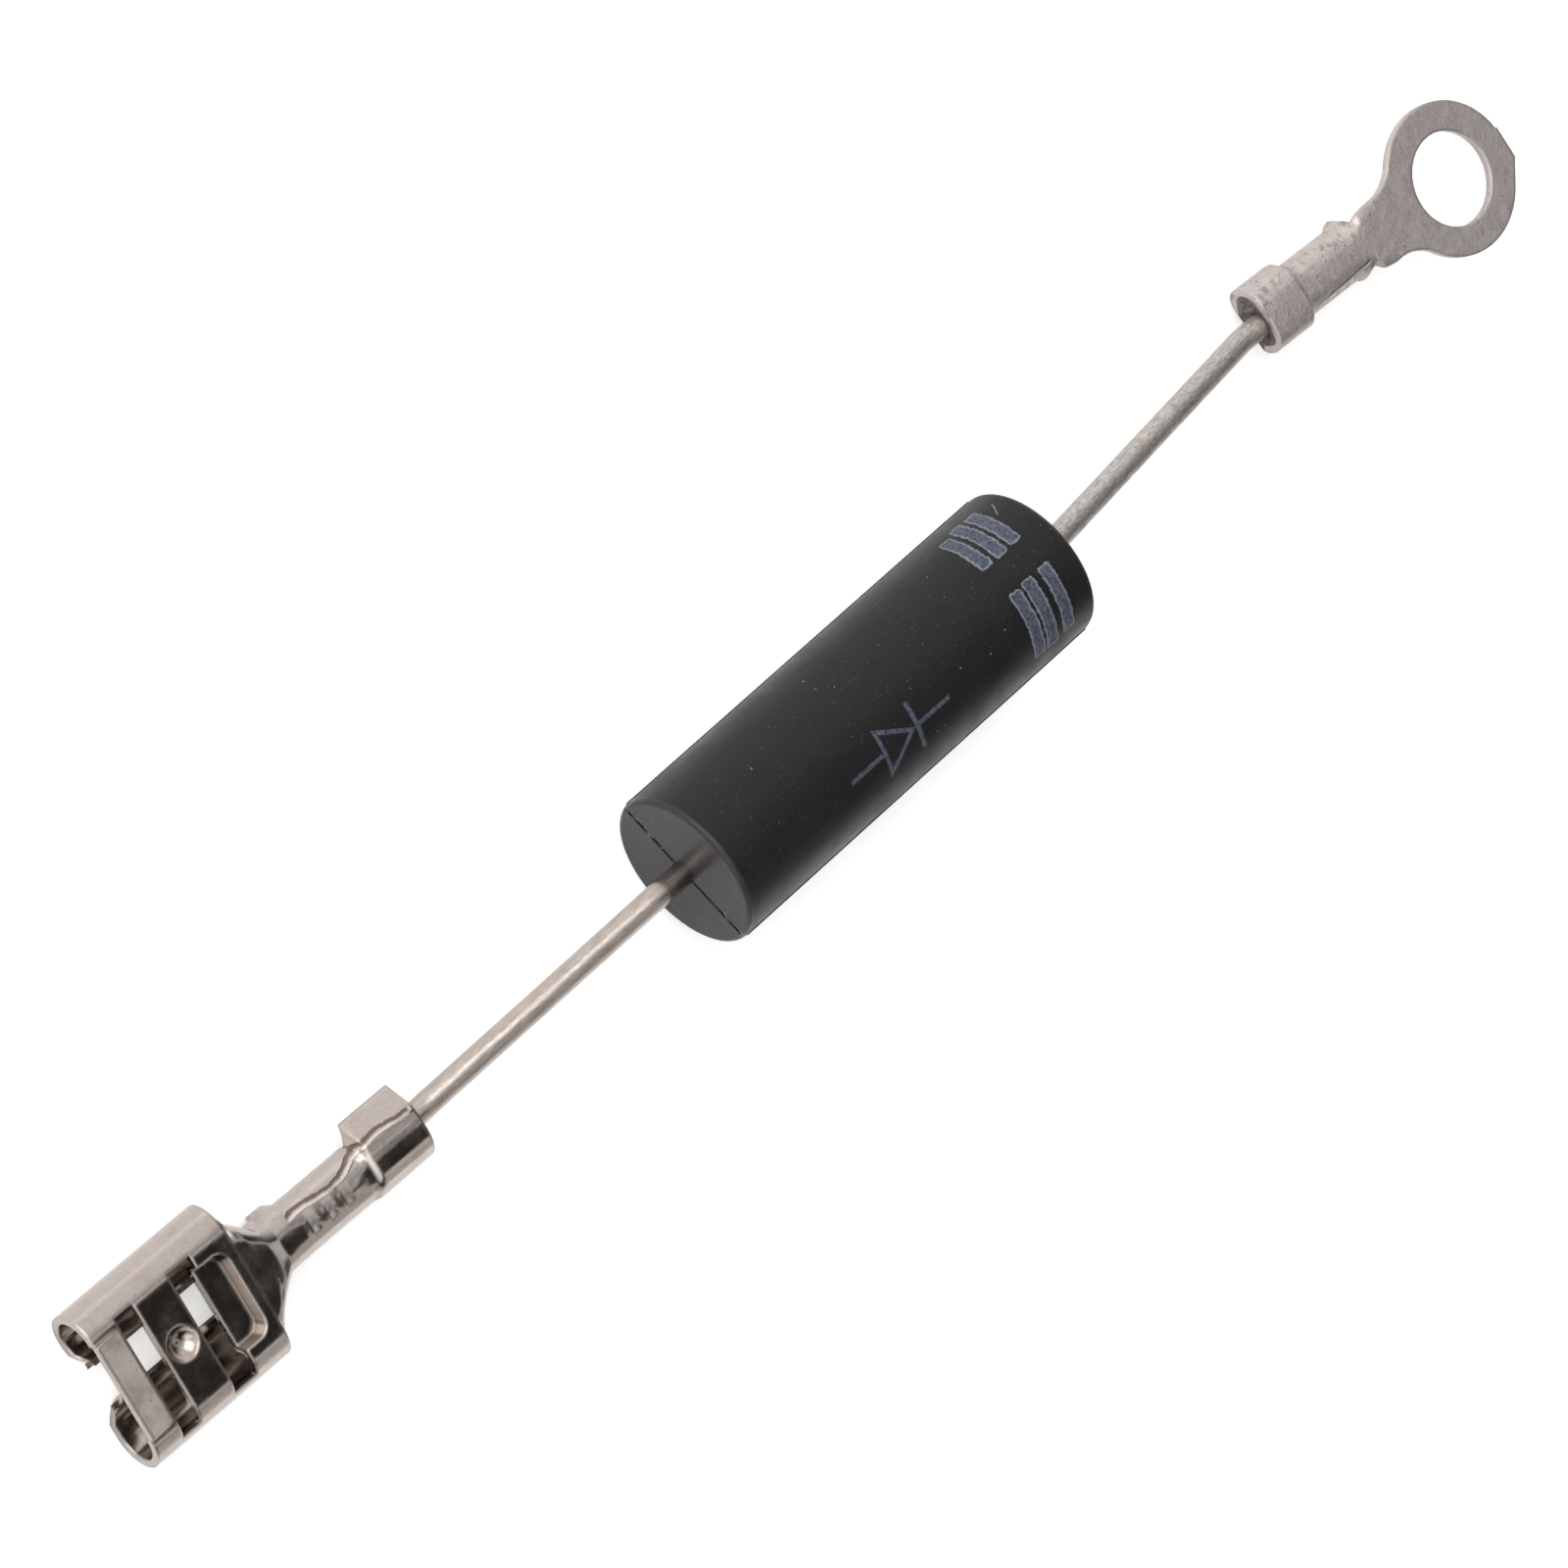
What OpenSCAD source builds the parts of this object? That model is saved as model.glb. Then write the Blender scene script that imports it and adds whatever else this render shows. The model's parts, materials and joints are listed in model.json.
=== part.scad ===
// High-voltage axial rectifier diode with crimped terminals.
// The moulded body lies on its side with its axis along X and the cathode end at +X.
// A stamped ring terminal is crimped on the cathode lead and a rolled tab receptacle on the anode lead.

/* [Body] */
// Diameter of the moulded body
body_d = 7.25; // [6:0.05:9]
// Length of the moulded body
body_len = 22; // [16:0.5:30]
// Radius of the body's end edges
body_edge_r = 0.22; // [0.1:0.02:0.4]
// Width of the mould's parting ridge
parting_w = 0.12; // [0.06:0.02:0.2]
// Height of the mould's parting ridge
parting_h = 0.04; // [0.02:0.01:0.08]
// Tilt of the parting plane about the body's axis
parting_tilt = -24.5; // [-45:0.5:45]

/* [Leads] */
// Diameter of the tinned copper leads
lead_d = 1.1; // [0.8:0.05:1.3]
// Diameter of the nail head inside the body
head_d = 2.4; // [1.8:0.1:3]
// Thickness of the nail head
head_t = 0.5; // [0.3:0.05:0.8]
// Free anode lead between the body and the receptacle
anode_free = 15.6; // [10:0.1:25]
// Free cathode lead between the body and the ring terminal
cathode_free = 17.5; // [10:0.1:25]
// Centreline radius of the bends in the leads
bend_r = 5; // [3:0.5:8]

/* [Junction stack] */
// Number of silicon dies in series
die_count = 12; // [8:1:14]
// Diameter of a die
die_d = 2.2; // [1.6:0.1:2.8]
// Thickness of a die
die_t = 0.28; // [0.2:0.02:0.4]
// Thickness of a solder preform
solder_t = 0.05; // [0.03:0.01:0.08]
// Wall of the silicone coating round the stack
coating_wall = 0.6; // [0.3:0.05:0.9]

/* [Ring terminal] */
// Hole for an M4 screw
ring_hole_d = 4.3; // [3.2:0.1:4.5]
// Outside diameter of the ring
ring_d = 7; // [6.8:0.05:8.5]
// Sheet thickness of the ring terminal
ring_t = 0.35; // [0.3:0.01:0.4]
// Ring centre to the start of the wire barrel
ring_reach = 5.9; // [5.4:0.1:8]
// Length of the wire barrel
ring_grip_len = 3.8; // [3:0.1:5]
// Gap between the wire barrel and the outer barrel
ring_grip_gap = 0.35; // [0.3:0.05:0.8]
// Length of the outer barrel
ring_sleeve_len = 2.2; // [1.6:0.1:3]
// Roll of the ring terminal about the lead
ring_roll = 7; // [0:0.5:10]
// Turn of the ring terminal in the flat
ring_yaw = -3.5; // [-6:0.5:6]

/* [Tab receptacle] */
// Width of the mating tab
tab_w = 6.3; // [6.3:0.1:7]
// Thickness of the mating tab
tab_t = 0.8; // [0.8:0.05:0.9]
// Sheet thickness of the receptacle
box_t = 0.35; // [0.3:0.01:0.4]
// Length of the rolled box
box_len = 7.4; // [6.5:0.1:9]
// Outer radius of the rolled sides
curl_r = 1.32; // [1.2:0.02:1.4]
// Extra flat under the roll on the +Y side
curl_flat_left = 0.06; // [0.02:0.02:0.4]
// Extra flat under the roll on the -Y side
curl_flat_right = 0.5; // [0.02:0.02:0.7]
// Front edge of the first window
window_front = 1.38; // [1.2:0.02:1.6]
// Length of the first window along the box
window_len = 1; // [0.8:0.05:1.1]
// Width of the strip between the windows
strip_len = 1.9; // [1.7:0.05:2.1]
// Length of the second window along the box
window_back_len = 1.25; // [1:0.05:1.4]
// Reach of both windows towards +Y
window_left = 2.65; // [2.4:0.05:3.2]
// Reach of both windows towards -Y
window_right = 3.15; // [2.4:0.05:3.3]
// Depth of the tab stop pressed into the floor
stop_depth = 0.6; // [0.5:0.02:0.7]
// Taper from the box to the wire barrel
taper_len = 2.7; // [2.4:0.1:4]
// Length of the wire barrel
tab_grip_len = 4.1; // [3:0.1:5]
// Gap between the wire barrel and the outer barrel
tab_grip_gap = 0.35; // [0.3:0.05:0.8]
// Length of the outer barrel
tab_sleeve_len = 2.75; // [2:0.05:3.5]
// Turn of the receptacle in the flat
tab_yaw = -1.5; // [-4:0.5:4]
// Sideways offset of the receptacle
tab_shift = -1.05; // [-2:0.05:2]

/* [Hidden] */

$fn = 64;
eps = 0.01;
fit_gap = 0.02;

// Junction stack, centred in the body.
stack_len = die_count * die_t + (die_count + 1) * solder_t;
stack_pitch = die_t + solder_t;
coating_d = die_d + 2 * coating_wall;
body_r = body_d / 2;

// Receptacle, in its own frame: x from the mouth of the box, z down from the floor's outer face.
curl_inner_r = curl_r - box_t;
curl_centre_z = -curl_r;
detent_depth = 0.43;
slot_top_z = -box_t - detent_depth;
slot_bottom_z = slot_top_z - tab_t - fit_gap;
curl_reach = sqrt(pow(curl_inner_r, 2) - pow(slot_top_z - curl_centre_z, 2));
curl_centre_y = tab_w / 2 + fit_gap - curl_reach;
curl_end_angle = asin((slot_bottom_z - curl_centre_z) / curl_r);
box_w = 2 * (curl_centre_y + curl_r);
window_back = window_front + window_len + strip_len;
stop_front = window_back + window_back_len;
tab_grip_start = box_len + taper_len;
tab_grip_end = tab_grip_start + tab_grip_len;
tab_sleeve_start = tab_grip_end + tab_grip_gap;
tab_len = tab_sleeve_start + tab_sleeve_len;

// Ring terminal, in its own frame: x from the ring's centre towards the body, z down from the face.
ring_grip_end = ring_reach + ring_grip_len;
ring_sleeve_start = ring_grip_end + ring_grip_gap;
ring_len = ring_sleeve_start + ring_sleeve_len;

// The wire lies against the inside of the barrel's top.
ring_wire_z = -ring_t - lead_d / 2 - fit_gap;
grip_top = -0.08;
tab_wire_z = grip_top - box_t - lead_d / 2 - fit_gap;
tab_grip_y = 0.22;
grip_fold_r = (lead_d + 2 * fit_gap) / 2;

// Where the terminals lie, with the body's axis at the height of its radius.
tab_floor_z = 2 * curl_r;
ring_face_z = 2.62;
ring_shift = -0.18;
tab_origin = [-body_len / 2 - anode_free - tab_len, tab_shift, tab_floor_z - body_r];
ring_origin = [body_len / 2 + cathode_free + ring_len, ring_shift, ring_face_z - body_r];
frame_shift = [
    -(ring_origin[0] + ring_d / 2 + tab_origin[0]) / 2,
    (box_w / 2 - tab_shift - body_r) / 2,
    body_r
];

function turn_z(p, a) = [p[0] * cos(a) - p[1] * sin(a), p[0] * sin(a) + p[1] * cos(a), p[2]];
function turn_x(p, a) = [p[0], p[1] * cos(a) - p[2] * sin(a), p[1] * sin(a) + p[2] * cos(a)];
function tab_point(p) = tab_origin + turn_z(p, tab_yaw);
function ring_point(p) = ring_origin + turn_z(turn_x(p, ring_roll), 180 + ring_yaw);
function unit(v) = v / norm(v);

module in_frame() {
    translate(frame_shift) children();
}

module along_x(x) {
    translate([x, 0, 0]) rotate([0, 90, 0]) children();
}

// ---- Body -------------------------------------------------------------

module epoxy_body() {
    color("#26262a")
    in_frame()
    difference() {
        union() {
            body_blank();
            rotate([parting_tilt, 0, 0]) {
                for (side = [-1, 1]) parting_ridge(side);
                for (side = [-1, 1]) end_flash(side);
            }
        }
        along_x(-body_len / 2 - 1) cylinder(h = body_len + 2, d = lead_d);
        along_x(-stack_len / 2) cylinder(h = stack_len, d = coating_d);
        along_x(-stack_len / 2 - head_t) cylinder(h = stack_len + 2 * head_t, d = head_d);
    }
}

module body_blank() {
    half = body_len / 2;
    flat_r = body_r - body_edge_r;
    rotate([0, 90, 0])
    rotate_extrude()
    union() {
        translate([0, -half]) square([flat_r, body_len]);
        translate([flat_r - eps, -half + body_edge_r])
            square([body_edge_r + eps, body_len - 2 * body_edge_r]);
        for (side = [-1, 1]) translate([flat_r, side * (half - body_edge_r)]) circle(r = body_edge_r);
    }
}

module parting_ridge(side) {
    length = body_len - 2 * body_edge_r;
    translate([-length / 2, side * body_r - parting_h, -parting_w / 2])
    cube([length, 2 * parting_h, parting_w]);
}

// Film of flash where the mould's halves met across an end face.
module end_flash(side) {
    width = body_d - 2 * body_edge_r;
    translate([side * body_len / 2 - parting_h, -width / 2, -parting_w / 4])
    cube([2 * parting_h, width, parting_w / 2]);
}

module junction_coating() {
    color("#d9d6cc")
    in_frame()
    difference() {
        along_x(-stack_len / 2) cylinder(h = stack_len, d = coating_d);
        along_x(-stack_len / 2 - 1) cylinder(h = stack_len + 2, d = die_d);
    }
}

module silicon_die(i) {
    color("#4a4d55")
    in_frame()
    along_x(-stack_len / 2 + solder_t + (i - 1) * stack_pitch) cylinder(h = die_t, d = die_d);
}

module solder_preform(i) {
    color("#b9bcc0")
    in_frame()
    along_x(-stack_len / 2 + (i - 1) * stack_pitch) cylinder(h = solder_t, d = die_d);
}

// ---- Leads ------------------------------------------------------------

lead_sides = 24;
bend_steps = 5;

// Points of a fillet of radius r at corner b of the path a, b, c.
function fillet(a, b, c, r) =
    let (
        u = unit(b - a),
        v = unit(c - b),
        half_turn = acos(u * v) / 2,
        cut = r * tan(half_turn),
        inward = unit(v - u),
        centre = b + inward * r / cos(half_turn)
    )
    [for (i = [0:bend_steps])
        let (t = -1 + 2 * i / bend_steps, along = unit(u + v))
        centre + r * (along * sin(half_turn * t) - inward * cos(half_turn * t))];

// Centreline of a wire through its corners, with each inner corner rounded.
function wire_path(corners, r) = [
    corners[0],
    for (i = [1:len(corners) - 2]) each fillet(corners[i - 1], corners[i], corners[i + 1], r),
    corners[len(corners) - 1]
];

function tangent(path, i) =
    i == 0 ? unit(path[1] - path[0]) :
    i == len(path) - 1 ? unit(path[i] - path[i - 1]) :
    unit(unit(path[i] - path[i - 1]) + unit(path[i + 1] - path[i]));

// Closed tube of radius r along the path, with its rings kept upright.
module tube(path, r, sides) {
    rings = [for (i = [0:len(path) - 1])
        let (t = tangent(path, i), a = unit(cross(t, [0, 0, 1])), b = cross(a, t))
        for (j = [0:sides - 1])
            path[i] + r * (a * cos(360 * j / sides) + b * sin(360 * j / sides))];
    last = (len(path) - 1) * sides;
    walls = [for (i = [0:len(path) - 2]) for (j = [0:sides - 1])
        let (k = (j + 1) % sides)
        [i * sides + j, i * sides + k, (i + 1) * sides + k, (i + 1) * sides + j]];
    start_cap = [for (j = [sides - 1:-1:0]) j];
    end_cap = [for (j = [0:sides - 1]) last + j];
    polyhedron(rings, concat(walls, [start_cap, end_cap]), convexity = 6);
}

// Nail head inside the body, towards the side given.
module nail_head(side) {
    rotate([0, side * 90, 0])
    translate([0, 0, stack_len / 2])
    cylinder(h = head_t, d = head_d);
}

// Corners of each wire, from inside its nail head to the crimp.
wire_start = (stack_len + head_t) / 2;
exit_run = 1.8;
wire_exit = body_len / 2 + exit_run;
grip_overrun = 0.5;
tab_entry_run = 0.6;
tab_entry_side = 0.5;
tab_entry_drop = 0.35;
ring_entry_run = 1.2;
ring_entry_side = 0.18;
tab_entry = [tab_len + tab_entry_run, tab_entry_side, tab_wire_z - tab_entry_drop];
ring_entry = [ring_len + ring_entry_run, ring_entry_side, ring_wire_z];

module anode_lead() {
    corners = [
        [-wire_start, 0, 0],
        [-wire_exit, 0, 0],
        tab_point(tab_entry),
        tab_point([tab_grip_end + grip_overrun, tab_grip_y, tab_wire_z]),
        tab_point([tab_grip_start - grip_overrun, tab_grip_y, tab_wire_z])
    ];
    color("#c9bfb8")
    in_frame()
    union() {
        nail_head(-1);
        tube(wire_path(corners, bend_r), lead_d / 2, lead_sides);
    }
}

module cathode_lead() {
    corners = [
        [wire_start, 0, 0],
        [wire_exit, 0, 0],
        ring_point(ring_entry),
        ring_point([ring_reach - grip_overrun, 0, ring_wire_z])
    ];
    color("#b5aaa5")
    in_frame()
    union() {
        nail_head(1);
        tube(wire_path(corners, bend_r), lead_d / 2, lead_sides);
    }
}

// ---- Folded sheet ------------------------------------------------------

// A side of a folded section is [flat, r, fold, wall, hook_r, hook]:
// half the flat top, the fold's centreline radius and angle, the straight wall after it,
// and the radius and angle of the hook at its end.
flat_steps = 3;
fold_steps = 9;
hook_steps = 5;
blunt_r = 0.4;
blunt_turn = 14;
joint_lap = 0.05;
lap_inset = 0.06;
lap_drop = 0.03;
shut_wall_short = 0.06;
flat_edge = 0.5;
flat_edge_r = 1.5;
flat_edge_turn = 6;
flat_edge_wall = 0.25;
ridge_spread = 2.5;

function side_of(flat, r, fold, wall, hook_r = blunt_r, hook = blunt_turn) =
    [flat, r, fold, wall, hook_r, hook];

// A side rolled shut under the wire, and one that is still nearly flat.
function shut_side(flat, t) = side_of(flat, grip_fold_r + t / 2, 180, flat - shut_wall_short);
function flat_side(half) = side_of(half - flat_edge, flat_edge_r, flat_edge_turn, flat_edge_wall);

function walk_arc(p, h, r, turn, n) = [for (i = [1:n])
    let (g = h - turn * i / n)
    [p[0] + r * (sin(h) - sin(g)), p[1] - r * (cos(h) - cos(g)), g]];

function side_line(q) =
    let (
        flat_end = [q[0], 0, 0],
        fold = walk_arc(flat_end, 0, q[1], q[2], fold_steps),
        h = -q[2],
        f = fold[fold_steps - 1],
        wall_end = [f[0] + q[3] * cos(h), f[1] + q[3] * sin(h), h],
        hook = walk_arc(wall_end, h, q[4], q[5], hook_steps)
    )
    concat([for (i = [1:flat_steps]) [q[0] * i / flat_steps, 0, 0]], fold, [wall_end], hook);

function mirrored(line) = [for (i = [len(line) - 1:-1:0]) [-line[i][0], line[i][1], -line[i][2]]];

// Centreline of the section from its -y end to its +y end.
function section_line(neg, pos) = concat(mirrored(side_line(neg)), [[0, 0, 0]], side_line(pos));

// A key of the loft is [x, top, shift, bump, neg side, pos side, crown].
function key_mix(a, b, t) = [for (i = [0:len(a) - 1])
    is_list(a[i]) ? a[i] + (b[i] - a[i]) * t : a[i] + (b[i] - a[i]) * t];

function keys_between(keys, n) = [
    for (i = [0:len(keys) - 2]) for (k = [0:n - 1])
        let (s = k / n, t = (1 - cos(180 * s)) / 2, m = key_mix(keys[i], keys[i + 1], t))
        [keys[i][0] + (keys[i + 1][0] - keys[i][0]) * s, m[1], m[2], m[3], m[4], m[5], m[6]],
    keys[len(keys) - 1]
];

// Ring of points round the sheet at one station.
function sheet_ring(key, t) =
    let (
        line = section_line(key[4], key[5]),
        mid = (len(line) - 1) / 2,
        last = len(line) - 1,
        outer = [for (i = [0:last])
            let (p = line[i], lift = t / 2 + key[3] * exp(-pow((i - mid) / ridge_spread, 2)))
            [p[0] - lift * sin(p[2]), p[1] + lift * cos(p[2])]],
        inner = [for (i = [last:-1:0])
            let (p = line[i])
            [p[0] + t / 2 * sin(p[2]), p[1] - t / 2 * cos(p[2])]]
    )
    [for (p = concat(outer, inner)) [key[0], key[2] + p[0], key[1] - t / 2 + p[1] - key[6] * p[0] * p[0]]];

module sheet_loft(keys, t, n) {
    stations = keys_between(keys, n);
    rings = [for (s = stations) sheet_ring(s, t)];
    size = len(rings[0]);
    last = (len(rings) - 1) * size;
    points = [for (ring = rings) each ring];
    walls = [for (i = [0:len(rings) - 2]) for (j = [0:size - 1])
        let (k = (j + 1) % size)
        [i * size + j, i * size + k, (i + 1) * size + k, (i + 1) * size + j]];
    front_cap = [for (j = [size - 1:-1:0]) j];
    back_cap = [for (j = [0:size - 1]) last + j];
    polyhedron(points, concat(walls, [front_cap, back_cap]), convexity = 10);
}

// ---- Ring terminal -----------------------------------------------------

neck_half = 1.45;
neck_flank_r = 2.4;
flank_bite = 0.02;
neck_flank_y = neck_half + neck_flank_r;
neck_len = sqrt(pow(ring_d / 2 + neck_flank_r, 2) - pow(neck_flank_y, 2));

// Nib left where the terminal was sheared from its carrier strip.
nib_from = -0.58;
nib_to = 0.96;
nib_rise = 0.12;
nib_slant = 0.09;
nib_fade = 1;
nib_turn = 34;

module carrier_nib() {
    root = ring_hole_d / 2 + ring_t;
    reach = ring_d / 2 + nib_rise;
    polygon([
        [-root, nib_from],
        [-root, nib_to + nib_fade],
        [-ring_d / 2 * cos(nib_turn), nib_to + nib_fade],
        [-reach, nib_to],
        [-reach + nib_slant, nib_from]
    ]);
}

module ring_plate() {
    translate([0, 0, -ring_t])
    linear_extrude(ring_t)
    difference() {
        union() {
            circle(d = ring_d);
            carrier_nib();
            difference() {
                polygon([[0, 0], [neck_len, neck_flank_y], [neck_len, -neck_flank_y]]);
                for (side = [-1, 1]) translate([neck_len, side * neck_flank_y])
                    circle(r = neck_flank_r + flank_bite);
            }
        }
        circle(d = ring_hole_d);
    }
}

// Sides of the ring terminal's sections, from the neck to the outer barrel.
ring_shoulder = side_of(0.95, 0.45, 20, 0.1);
ring_waist = side_of(0.62, 0.4, 40, 0.06);
ring_bell = side_of(0.5, 0.85, 125, 0.5);
ring_shut = shut_side(0.4, ring_t);
ring_throat = side_of(0.6, 0.6, 90, 0.1);
ring_wing_curled = side_of(0.75, 0.8, 188, 0.02, 0.7, 4);
ring_wing_short = side_of(0.85, 0.5, 95, 0.3, 0.5, 40);
ring_waist_back = 0.15;
ring_waist_x = ring_reach - ring_waist_back;
ring_shoulder_len = 0.35;
ring_bell_len = 0.3;
ring_close_len = 0.75;
ring_throat_len = 0.15;
ring_grip_y = -0.06;
ring_sleeve_top = 0.06;
ring_crown = 0.09;

module ring_crimp() {
    neck = flat_side(neck_half - lap_inset);
    sheet_loft([
        [neck_len - joint_lap, 0, 0, 0, neck, neck, 0],
        [ring_waist_x - ring_shoulder_len, 0, 0, 0, ring_shoulder, ring_shoulder, 0],
        [ring_waist_x, 0, ring_grip_y, 0, ring_waist, ring_waist, ring_crown / 2],
        [ring_waist_x + ring_bell_len, 0, ring_grip_y, 0, ring_bell, ring_bell, ring_crown],
        [ring_waist_x + ring_close_len, 0, ring_grip_y, 0, ring_shut, ring_shut, ring_crown],
        [ring_grip_end - ring_throat_len, 0, ring_grip_y, 0, ring_shut, ring_shut, ring_crown],
        [ring_grip_end + ring_throat_len, 0, ring_grip_y, 0, ring_throat, ring_throat, ring_crown],
        [ring_sleeve_start, ring_sleeve_top, 0, 0, ring_wing_curled, ring_wing_short, ring_crown],
        [ring_len, ring_sleeve_top, 0, 0, ring_wing_curled, ring_wing_short, ring_crown]
    ], ring_t, 3);
}

module ring_terminal() {
    color("#a89e9b")
    in_frame()
    translate(ring_origin)
    rotate([0, 0, 180 + ring_yaw])
    rotate([ring_roll, 0, 0])
    union() {
        ring_plate();
        ring_crimp();
    }
}

// ---- Tab receptacle ----------------------------------------------------

lip_len = 1.3;
lip_rise = 0.2;
lip_side = 0.1;
detent_bump_r = 1.1;
detent_cut_r = 0.8;
stop_half = 1.85;
stop_len = 1.24;
stop_corner = 0.6;
stop_slope = 0.14;
stop_wall = 0.21;
window_drop = 0.95;
slant_len = 0.9;
slant_reach = 3.6;

module ring_sector(r_out, r_in, from, to) {
    reach = 3 * r_out;
    steps = 6;
    difference() {
        circle(r = r_out);
        circle(r = r_in);
        polygon(concat([[0, 0]], [for (i = [0:steps])
            let (a = to + (from + 360 - to) * i / steps)
            reach * [cos(a), sin(a)]]));
    }
}

// One half of the rolled section: y across and z up, with the floor's outer face at z = 0.
module rolled_side(flat) {
    translate([0, -box_t]) square([curl_centre_y, box_t]);
    translate([curl_centre_y, curl_centre_z]) ring_sector(curl_r, curl_inner_r, -90, 90);
    translate([curl_centre_y - flat, curl_centre_z - curl_r]) square([flat, box_t]);
    translate([curl_centre_y - flat, curl_centre_z])
        ring_sector(curl_r, curl_inner_r, -180 - curl_end_angle, -90);
}

module box_section() {
    union() {
        rolled_side(curl_flat_left);
        mirror([1, 0]) rolled_side(curl_flat_right);
    }
}

module box_window(front, length) {
    translate([front, -window_right, -window_drop])
    cube([length, window_left + window_right, 2 * window_drop]);
}

// Slant across the free edges of the rolled sides, which leads the tab in.
module lead_in_slant(side) {
    depth = curl_r + 1;
    translate([0, 0, slot_bottom_z + fit_gap - depth])
    linear_extrude(depth)
    polygon([[-1, 0], [slant_len, 0], [-1, side * slant_reach]]);
}

// Lead-in lip: the floor's front edge, bent away from the tab.
module lead_in_lip() {
    half = curl_centre_y - lip_side;
    translate([0, half, 0]) rotate([90, 0, 0])
    linear_extrude(2 * half)
    polygon([[lip_len, 0], [0, lip_rise], [0, lip_rise - box_t], [lip_len, -box_t]]);
}

// Outline of the pressed tab stop, open towards the second window.
module stop_outline(grow) {
    half = stop_half + grow;
    back = stop_front + stop_len + grow;
    union() {
        translate([stop_front, -half]) square([back - stop_corner - stop_front, 2 * half]);
        translate([stop_front, stop_corner - half]) square([back - stop_front, 2 * (half - stop_corner)]);
        for (side = [-1, 1]) translate([back - stop_corner, side * (half - stop_corner)])
            circle(r = stop_corner, $fn = 32);
    }
}

module stop_pan(top, bottom, grow) {
    hull() {
        translate([0, 0, top]) linear_extrude(eps) stop_outline(grow + stop_slope);
        translate([0, 0, bottom]) linear_extrude(eps) stop_outline(grow);
    }
}

detent_x = window_front + window_len + strip_len / 2;
detent_z = slot_top_z + detent_bump_r;

// Rolled box before its floor is pierced.
module tab_box() {
    reach = 2 * detent_bump_r;
    difference() {
        rotate([90, 0, 90]) linear_extrude(box_len) box_section();
        translate([-1, lip_side - curl_centre_y, -box_t - lip_side])
            cube([lip_len + 1, 2 * (curl_centre_y - lip_side), box_t + 2 * lip_side]);
        for (side = [-1, 1]) lead_in_slant(side);
    }
    lead_in_lip();
    intersection() {
        translate([detent_x, 0, detent_z]) sphere(r = detent_bump_r);
        translate([detent_x - reach, -reach, slot_top_z - reach])
            cube([2 * reach, 2 * reach, reach - slot_top_z - box_t / 2]);
    }
}

// What is pressed into the floor or pierced through it.
module floor_cuts() {
    translate([detent_x, 0, detent_z]) sphere(r = detent_cut_r);
    stop_pan(eps, -stop_depth, 0);
    box_window(window_front, window_len);
    box_window(window_back, window_back_len);
}

// Sides of the receptacle's sections, from the box to the outer barrel.
tab_shoulder = flat_side(curl_centre_y - lap_inset);
tab_neck_wide = side_of(1.4, 0.6, 82, 0.4);
tab_neck = side_of(0.78, 0.5, 85, 0.45);
tab_waist = side_of(0.5, 0.6, 88, 0.5);
tab_half_shut = side_of(0.45, 0.66, 132, 0.42);
tab_ear = side_of(0.5, 0.85, 110, 0.9);
tab_shut = shut_side(0.38, box_t);
tab_throat = side_of(0.55, 0.6, 80, 0.1);
tab_flap = side_of(1.05, 0.25, 35, 0.95);
tab_wing = side_of(0.25, 1, 100, 0.55, 0.6, 30);
neck_wide_run = 0.55;
neck_run = 1.3;
waist_back = 0.85;
ear_back = 0.5;
close_run = 0.3;
throat_run = 0.12;
tab_neck_wide_x = box_len + neck_wide_run;
tab_neck_x = box_len + neck_run;
tab_waist_x = tab_grip_start - waist_back;
tab_ear_x = tab_grip_start - ear_back;
tab_ear_len = 0.4;
tab_close_x = tab_grip_start + close_run;
tab_throat_x = tab_grip_end + throat_run;
tab_throat_len = 0.3;
tab_sleeve_top = 0.1;
tab_neck_y = 0.12;
tab_crown = 0.11;
dent_count = 3;
dent_pitch = 0.95;
dent_drop = 0.03;
ridge_rise = 0.07;

module tab_crimp() {
    y = tab_grip_y;
    top = grip_top;
    first = (tab_grip_start + tab_grip_end - (dent_count - 1) * dent_pitch) / 2;
    dents = [for (i = [0:dent_count - 1]) each [
        [first + (i - 0.5) * dent_pitch, top - dent_drop, y, 0, tab_shut, tab_shut, tab_crown],
        [first + i * dent_pitch, top, y, ridge_rise, tab_shut, tab_shut, tab_crown]
    ]];
    sheet_loft(concat([
        [box_len - joint_lap, -lap_drop, 0, 0, tab_shoulder, tab_shoulder, 0],
        [tab_neck_wide_x, 0, tab_neck_y, 0, tab_neck_wide, tab_neck_wide, 0],
        [tab_neck_x, 0, tab_neck_y, 0, tab_neck, tab_neck, tab_crown / 2],
        [tab_waist_x, top, y, 0, tab_waist, tab_waist, tab_crown],
        [tab_ear_x, top, y, 0, tab_half_shut, tab_ear, tab_crown],
        [tab_ear_x + tab_ear_len, top, y, 0, tab_shut, tab_ear, tab_crown],
        [tab_close_x, top, y, 0, tab_shut, tab_shut, tab_crown]
    ], dents, [
        [tab_throat_x - tab_throat_len, top, y, 0, tab_shut, tab_shut, tab_crown],
        [tab_throat_x, top, y, 0, tab_throat, tab_throat, tab_crown],
        [tab_sleeve_start, tab_sleeve_top, y, 0, tab_wing, tab_flap, tab_crown],
        [tab_len, tab_sleeve_top, y, 0, tab_wing, tab_flap, tab_crown]
    ]), box_t, 2);
}

module tab_receptacle() {
    color("#b8b0ac")
    in_frame()
    translate(tab_origin)
    rotate([0, 0, tab_yaw])
    difference() {
        union() {
            tab_box();
            tab_crimp();
            stop_pan(-box_t, -stop_depth - box_t, stop_wall);
        }
        floor_cuts();
    }
}

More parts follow.
